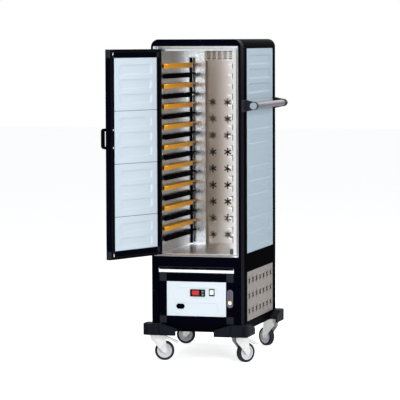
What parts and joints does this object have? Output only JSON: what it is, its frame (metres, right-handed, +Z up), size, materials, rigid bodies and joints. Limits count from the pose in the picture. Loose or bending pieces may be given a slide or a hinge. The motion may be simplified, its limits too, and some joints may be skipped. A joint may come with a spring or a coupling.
{
  "type": "cold banquet trolley",
  "caption": "Tall slim refrigerated banquet trolley on swivel castors, ribbed door standing open on orange and black shelf rails, machine compartment below, push bar at the side.",
  "frame": {"origin": "on the floor, under the centre of the cabinet body (the open door is left out of that centre)", "axes": "+Z up; -Y is the front with the doors; +X is the right-hand side as seen from the front, where the push bar is"},
  "size_m": [0.6973, 1.162, 1.64],
  "materials": {
    "bar_metal": "satin",
    "black_frame": "satin",
    "black_plastic": "matte",
    "coil": "satin",
    "copper": "polished",
    "dark_gloss": "gloss",
    "foam": "matte",
    "grey_plastic": "satin",
    "light_grey": "satin",
    "orange": "satin",
    "panel_skin": "satin",
    "polished_steel": "polished",
    "rubber": "matte",
    "side_skin": "satin",
    "steel": "brushed",
    "wheel": "satin",
    "white_skin": "satin",
    "zinc": "satin"
  },
  "bodies": {
    "cabinet": {"chassis": "black_frame", "corner_bumpers": "black_plastic", "castor_plates": "zinc", "castor_bolts": "zinc", "front_frame": "black_plastic", "frame_strip": "steel", "side_frames": "black_plastic", "rear_frame": "black_plastic", "roof_cover": "black_plastic", "decks": "steel", "side_panels": "side_skin", "back_panel": "side_skin", "vent_panels": "steel", "inner_liner": "polished_steel", "insulation": "foam", "duct_panels": "steel", "rack_uprights": "black_plastic", "orange_rails": "orange", "black_rails": "black_plastic", "evaporator_coil": "coil", "fan_shrouds": "black_plastic", "compressor": "black_frame", "condenser_coil": "coil", "refrigerant_pipes": "copper", "hinge_pins": "zinc", "door_keeper": "light_grey", "push_bar": "bar_metal", "push_bar_brackets": "black_plastic", "push_bar_caps": "light_grey"},
    "main_door": {"door_frame": "black_plastic", "door_corner_blocks": "grey_plastic", "door_panels": "white_skin", "door_core": "foam", "door_gasket": "rubber", "door_handle": "black_plastic", "door_screws": "zinc"},
    "machine_door": {"machine_door_frame": "black_plastic", "machine_door_corners": "grey_plastic", "machine_door_panel": "panel_skin", "thermostat": "dark_gloss", "rocker_frame": "dark_gloss", "mains_inlet": "dark_gloss", "latch_housing": "light_grey"},
    "key_up": {"key_up": "light_grey"},
    "key_down": {"key_down": "light_grey"},
    "rocker_switch": {"rocker_switch": "panel_skin"},
    "latch_button": {"latch_button": "grey_plastic"},
    "drip_tray": {"drip_tray": "polished_steel"},
    "evaporator_fan": {"evaporator_fan": "black_plastic"},
    "condenser_fan": {"condenser_fan": "black_plastic"},
    "castor_fl": {"castor_fork_fl": "zinc"},
    "wheel_fl": {"castor_wheel_fl": "wheel"},
    "pedal_fl": {"brake_pedal_fl": "grey_plastic"},
    "castor_fr": {"castor_fork_fr": "zinc"},
    "wheel_fr": {"castor_wheel_fr": "wheel"},
    "pedal_fr": {"brake_pedal_fr": "grey_plastic"},
    "castor_rl": {"castor_fork_rl": "zinc"},
    "wheel_rl": {"castor_wheel_rl": "wheel"},
    "castor_rr": {"castor_fork_rr": "zinc"},
    "wheel_rr": {"castor_wheel_rr": "wheel"}
  },
  "joints": [
    {"name": "main_door_hinge", "type": "hinge", "parent": "cabinet", "child": "main_door", "pos_m": [-0.2005, -0.3665, 1.07], "axis": [0, 0, 1], "range_deg": [-32, 112.5]},
    {"name": "machine_door_hinge", "type": "hinge", "parent": "cabinet", "child": "machine_door", "pos_m": [-0.19, -0.3665, 0.326], "axis": [0, 0, -1], "range_deg": [0, 100]},
    {"name": "key_up_press", "type": "slide", "parent": "machine_door", "child": "key_up", "axis": [0, 1, 0], "range_m": [0, 0.0008], "stiffness_N_per_m": 400},
    {"name": "key_down_press", "type": "slide", "parent": "machine_door", "child": "key_down", "axis": [0, 1, 0], "range_m": [0, 0.0008], "stiffness_N_per_m": 400},
    {"name": "rocker_tilt", "type": "hinge", "parent": "machine_door", "child": "rocker_switch", "pos_m": [0.081, -0.3655, 0.358], "axis": [1, 0, 0], "range_deg": [0, 16]},
    {"name": "latch_press", "type": "slide", "parent": "machine_door", "child": "latch_button", "axis": [0, 1, 0], "range_m": [0, 0.0025], "stiffness_N_per_m": 600},
    {"name": "drip_tray_slide", "type": "slide", "parent": "cabinet", "child": "drip_tray", "axis": [0, -1, 0], "range_m": [0, 0.18]},
    {"name": "evaporator_fan_spin", "type": "hinge", "parent": "cabinet", "child": "evaporator_fan", "pos_m": [0, 0.2875, 1.44], "axis": [0, 1, 0], "continuous": true},
    {"name": "condenser_fan_spin", "type": "hinge", "parent": "cabinet", "child": "condenser_fan", "pos_m": [0.151, 0.0275, 0.318], "axis": [1, 0, 0], "continuous": true},
    {"name": "castor_swivel_fl", "type": "hinge", "parent": "cabinet", "child": "castor_fl", "pos_m": [-0.218, -0.3305, 0.15], "axis": [0, 0, 1], "continuous": true},
    {"name": "wheel_spin_fl", "type": "hinge", "parent": "castor_fl", "child": "wheel_fl", "pos_m": [-0.18323, -0.32118, 0.05], "axis": [-0.2588, 0.9659, 0], "continuous": true},
    {"name": "brake_fl", "type": "hinge", "parent": "castor_fl", "child": "pedal_fl", "pos_m": [-0.19675, -0.32481, 0.124], "axis": [-0.2588, 0.9659, 0], "range_deg": [0, 10]},
    {"name": "castor_swivel_fr", "type": "hinge", "parent": "cabinet", "child": "castor_fr", "pos_m": [0.218, -0.3305, 0.15], "axis": [0, 0, 1], "continuous": true},
    {"name": "wheel_spin_fr", "type": "hinge", "parent": "castor_fr", "child": "wheel_fr", "pos_m": [0.24016, -0.30213, 0.05], "axis": [-0.788, 0.6157, 0], "continuous": true},
    {"name": "brake_fr", "type": "hinge", "parent": "castor_fr", "child": "pedal_fr", "pos_m": [0.23154, -0.31316, 0.124], "axis": [-0.788, 0.6157, 0], "range_deg": [0, 10]},
    {"name": "castor_swivel_rl", "type": "hinge", "parent": "cabinet", "child": "castor_rl", "pos_m": [-0.218, 0.3375, 0.15], "axis": [0, 0, 1], "continuous": true},
    {"name": "wheel_spin_rl", "type": "hinge", "parent": "castor_rl", "child": "wheel_rl", "pos_m": [-0.25386, 0.33436, 0.05], "axis": [0.0872, -0.9962, 0], "continuous": true},
    {"name": "castor_swivel_rr", "type": "hinge", "parent": "cabinet", "child": "castor_rr", "pos_m": [0.218, 0.3375, 0.15], "axis": [0, 0, 1], "continuous": true},
    {"name": "wheel_spin_rr", "type": "hinge", "parent": "castor_rr", "child": "wheel_rr", "pos_m": [0.18815, 0.35763, 0.05], "axis": [-0.5592, -0.829, 0], "continuous": true}
  ]
}
